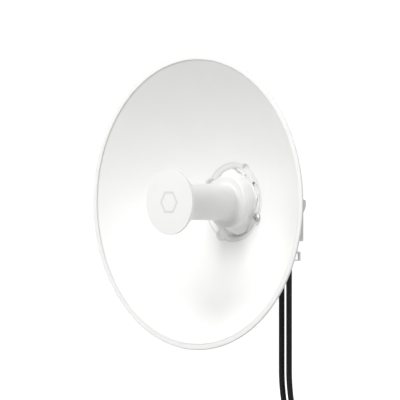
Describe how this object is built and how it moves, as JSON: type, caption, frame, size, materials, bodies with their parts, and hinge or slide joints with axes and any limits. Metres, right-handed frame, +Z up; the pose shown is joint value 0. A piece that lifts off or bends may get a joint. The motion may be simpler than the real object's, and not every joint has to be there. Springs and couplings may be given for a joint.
{
  "type": "outdoor wireless bridge",
  "caption": "Round dish radio for point-to-point links, with a splash-plate feed, a rear radio housing, a tilting yoke and a clamp for a vertical pole.",
  "frame": {"origin": "on the axis of the pole the clamp holds, level with the boresight, halfway up the clamp", "axes": "+Z up along the pole, -Y the way the dish looks, +X from the pole towards the dish"},
  "size_m": [0.467, 0.2761, 0.5647],
  "materials": {
    "dish_paint": "smooth white powder coat",
    "white_plastic": "fine satin UV-stable moulding",
    "tube_plastic": "satin radome moulding",
    "shell_paint": "pale grey powder coat with light orange peel",
    "badge": "printed satin film",
    "zinc_steel": "galvanised, faint spangle",
    "stainless": "plain stainless",
    "cast_alloy": "die-cast, lightly blasted",
    "turned_alloy": "turned",
    "black_rubber": "matt",
    "cable_jacket": "satin outdoor jacket",
    "grey_plastic": "fine matt moulding",
    "bush_plastic": "acetal",
    "circuit_board": "solder mask",
    "shield_tin": "tinned",
    "chip_plastic": "moulded epoxy",
    "thermal_gel": "soft pad",
    "clear_plastic": "clear",
    "light_pipe": "tinted clear",
    "copper_coax": "tinned copper sheath"
  },
  "bodies": {
    "antenna": {"reflector": "dish_paint", "hub_gasket": "black_rubber", "hub_adapter": "white_plastic", "hub_lock_screw": "stainless", "adapter_screws": "stainless", "subreflector_cap": "white_plastic", "cap_badge": "badge", "subreflector_plate": "turned_alloy", "dielectric_plug": "bush_plastic", "feed_tube": "tube_plastic", "feed_collar": "white_plastic", "feed_o_rings": "black_rubber", "waveguide": "turned_alloy", "probe_board": "circuit_board", "backshort": "turned_alloy", "coax_leads": "copper_coax", "radio_front_shell": "shell_paint", "radio_rear_shell": "shell_paint", "shell_seal": "black_rubber", "shell_screws": "stainless", "main_board": "circuit_board", "rf_shields": "shield_tin", "processor": "chip_plastic", "thermal_pad": "thermal_gel", "link_connector": "chip_plastic", "board_screws": "stainless", "port_board": "circuit_board", "ethernet_jacks": "shield_tin", "cable_plugs": "clear_plastic", "plug_boots": "black_rubber", "main_cable": "cable_jacket", "second_cable": "cable_jacket", "cable_grommet": "black_rubber", "hinge_pins": "stainless", "reset_switch": "chip_plastic", "status_lights": "light_pipe", "vent_plug": "grey_plastic", "ground_screw": "stainless", "ground_washer": "stainless", "tie_anchor": "zinc_steel", "tie_anchor_screws": "stainless", "pivot_bolts": "zinc_steel", "lock_washers": "zinc_steel"},
    "port_cover": {"port_cover": "shell_paint"},
    "reset_button": {"reset_button": "grey_plastic"},
    "lock_bolt_left": {"lock_bolt_left": "zinc_steel"},
    "lock_bolt_right": {"lock_bolt_right": "zinc_steel"},
    "mount": {"tilt_yoke": "zinc_steel", "pivot_bushes": "bush_plastic", "pole_saddle": "cast_alloy", "saddle_screws": "stainless", "clamp_bolts": "zinc_steel"},
    "jaw": {"clamp_jaw": "cast_alloy", "clamp_washers": "zinc_steel"},
    "clamp_nut_front": {"clamp_nut_front": "zinc_steel"},
    "clamp_nut_rear": {"clamp_nut_rear": "zinc_steel"}
  },
  "joints": [
    {"name": "elevation_tilt", "type": "hinge", "parent": "mount", "child": "antenna", "pos_m": [0.12, 0.045, -0.0045], "axis": [-1, 0, 0], "range_deg": [-15, 15]},
    {"name": "port_cover_hinge", "type": "hinge", "parent": "antenna", "child": "port_cover", "pos_m": [0.12, 0.043, 0.006], "axis": [1, 0, 0], "range_deg": [0, 75]},
    {"name": "reset_button_press", "type": "slide", "parent": "antenna", "child": "reset_button", "axis": [0, 0, 1], "range_m": [0, 0.0012], "stiffness_N_per_m": 30, "springref_m": -0.0003},
    {"name": "lock_bolt_left_turn", "type": "hinge", "parent": "antenna", "child": "lock_bolt_left", "pos_m": [0.074, 0.0188, 0.05169], "axis": [-1, 0, 0], "continuous": true},
    {"name": "lock_bolt_right_turn", "type": "hinge", "parent": "antenna", "child": "lock_bolt_right", "pos_m": [0.166, 0.0188, 0.05169], "axis": [1, 0, 0], "continuous": true},
    {"name": "clamp_jaw_slide", "type": "slide", "parent": "mount", "child": "jaw", "axis": [-1, 0, 0], "range_m": [-0.018, 0.02]},
    {"name": "clamp_nut_front_turn", "type": "hinge", "parent": "jaw", "child": "clamp_nut_front", "pos_m": [-0.04165, -0.048, 0], "axis": [-1, 0, 0], "continuous": true},
    {"name": "clamp_nut_rear_turn", "type": "hinge", "parent": "jaw", "child": "clamp_nut_rear", "pos_m": [-0.04165, 0.048, 0], "axis": [-1, 0, 0], "continuous": true}
  ],
  "couplings": [
    {"joint": "clamp_nut_front_turn", "follows": "clamp_jaw_slide", "rad_per_m": 5026.5},
    {"joint": "clamp_nut_rear_turn", "follows": "clamp_jaw_slide", "rad_per_m": 5026.5}
  ]
}
